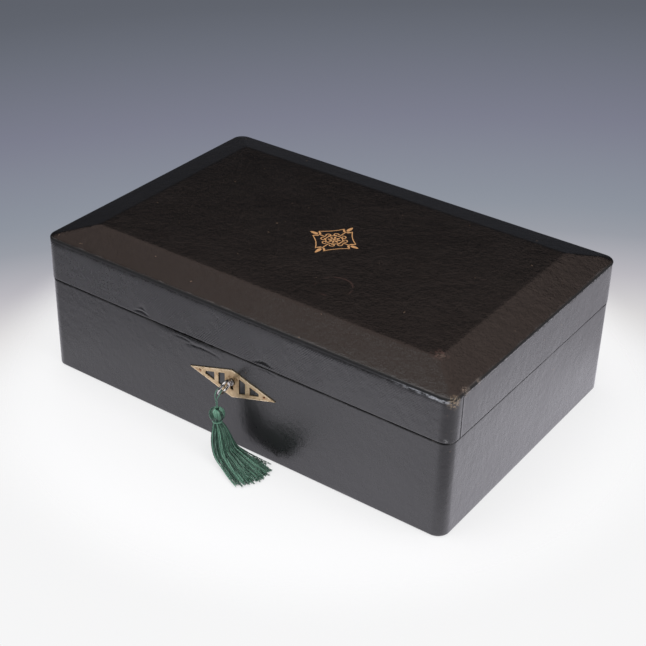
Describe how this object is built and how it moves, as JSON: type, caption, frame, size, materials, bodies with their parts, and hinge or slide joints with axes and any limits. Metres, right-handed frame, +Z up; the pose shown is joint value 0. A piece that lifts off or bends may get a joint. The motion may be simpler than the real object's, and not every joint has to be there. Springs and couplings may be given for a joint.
{
  "type": "dispatch box",
  "caption": "Leather covered wooden box for papers: fielded hinged lid, lever lock with pierced brass escutcheon, and a key with a tassel.",
  "frame": {"origin": "middle of the base, on the surface that the box stands on, with the lid closed", "axes": "+X to the right along the long front, +Y to the hinges at the back, +Z up"},
  "size_m": [0.407, 0.3162, 0.1368],
  "materials": {
    "pine": "planed, unvarnished",
    "black_leather": "black, fine plain grain, waxed and a little rubbed",
    "grained_leather": "black, fine grain, dulled by age",
    "straight_grain_leather": "black, straight grain",
    "lining_cloth": "deep green watered silk",
    "pad_cloth": "deep green padded silk",
    "base_cloth": "black book cloth",
    "worn_brass": "pale, rubbed and spotted",
    "lock_brass": "satin",
    "hinge_brass": "satin, darkened",
    "steel": "brushed",
    "nickel": "nickel plate, a little worn",
    "green_silk": "twisted floss, glossy"
  },
  "bodies": {
    "box": {"front_board": "pine", "back_board": "pine", "left_board": "pine", "right_board": "pine", "bottom_board": "pine", "body_leather": "black_leather", "base_cover": "base_cloth", "floor_lining": "lining_cloth", "front_lining": "lining_cloth", "back_lining": "lining_cloth", "left_lining": "lining_cloth", "right_lining": "lining_cloth", "escutcheon": "worn_brass", "escutcheon_pins": "worn_brass", "lock_plate": "lock_brass", "lock_cap": "lock_brass", "lever_one": "lock_brass", "lever_two": "lock_brass", "lever_springs": "steel", "lock_screws": "steel", "hinge_body_leaves": "hinge_brass", "hinge_pins": "steel", "hinge_body_screws": "steel"},
    "lid": {"lid_front_rail": "pine", "lid_back_rail": "pine", "lid_left_rail": "pine", "lid_right_rail": "pine", "lid_top_board": "pine", "lid_top_leather": "grained_leather", "lid_side_leather": "straight_grain_leather", "lid_front_lining": "lining_cloth", "lid_back_lining": "lining_cloth", "lid_left_lining": "lining_cloth", "lid_right_lining": "lining_cloth", "lid_pad": "pad_cloth", "link_plate": "lock_brass", "link_plate_screws": "steel", "hinge_lid_leaves": "hinge_brass", "hinge_lid_screws": "steel"},
    "bolt": {"lock_bolt": "steel"},
    "key": {"key_shank": "nickel", "key_bow": "nickel"},
    "tassel": {"tassel_loop": "green_silk", "tassel_head": "green_silk", "tassel_binding": "green_silk", "tassel_skirt": "green_silk"}
  },
  "joints": [
    {"name": "lid_hinge", "type": "hinge", "parent": "box", "child": "lid", "pos_m": [0, 0.1343, 0.0885], "axis": [-1, 0, 0], "range_deg": [0, 95]},
    {"name": "key_turn", "type": "hinge", "parent": "box", "child": "key", "pos_m": [0, -0.1335, 0.0626], "axis": [0, -1, 0], "range_deg": [0, 40]},
    {"name": "bolt_throw", "type": "slide", "parent": "box", "child": "bolt", "axis": [-1, 0, 0], "range_m": [0, 0.00445]},
    {"name": "tassel_swing", "type": "hinge", "parent": "box", "child": "tassel", "pos_m": [0, -0.1506, 0.0626], "axis": [-1, 0, 0], "range_deg": [0, 60]}
  ],
  "couplings": [
    {"joint": "key_turn", "follows": "bolt_throw", "rad_per_m": 157}
  ]
}
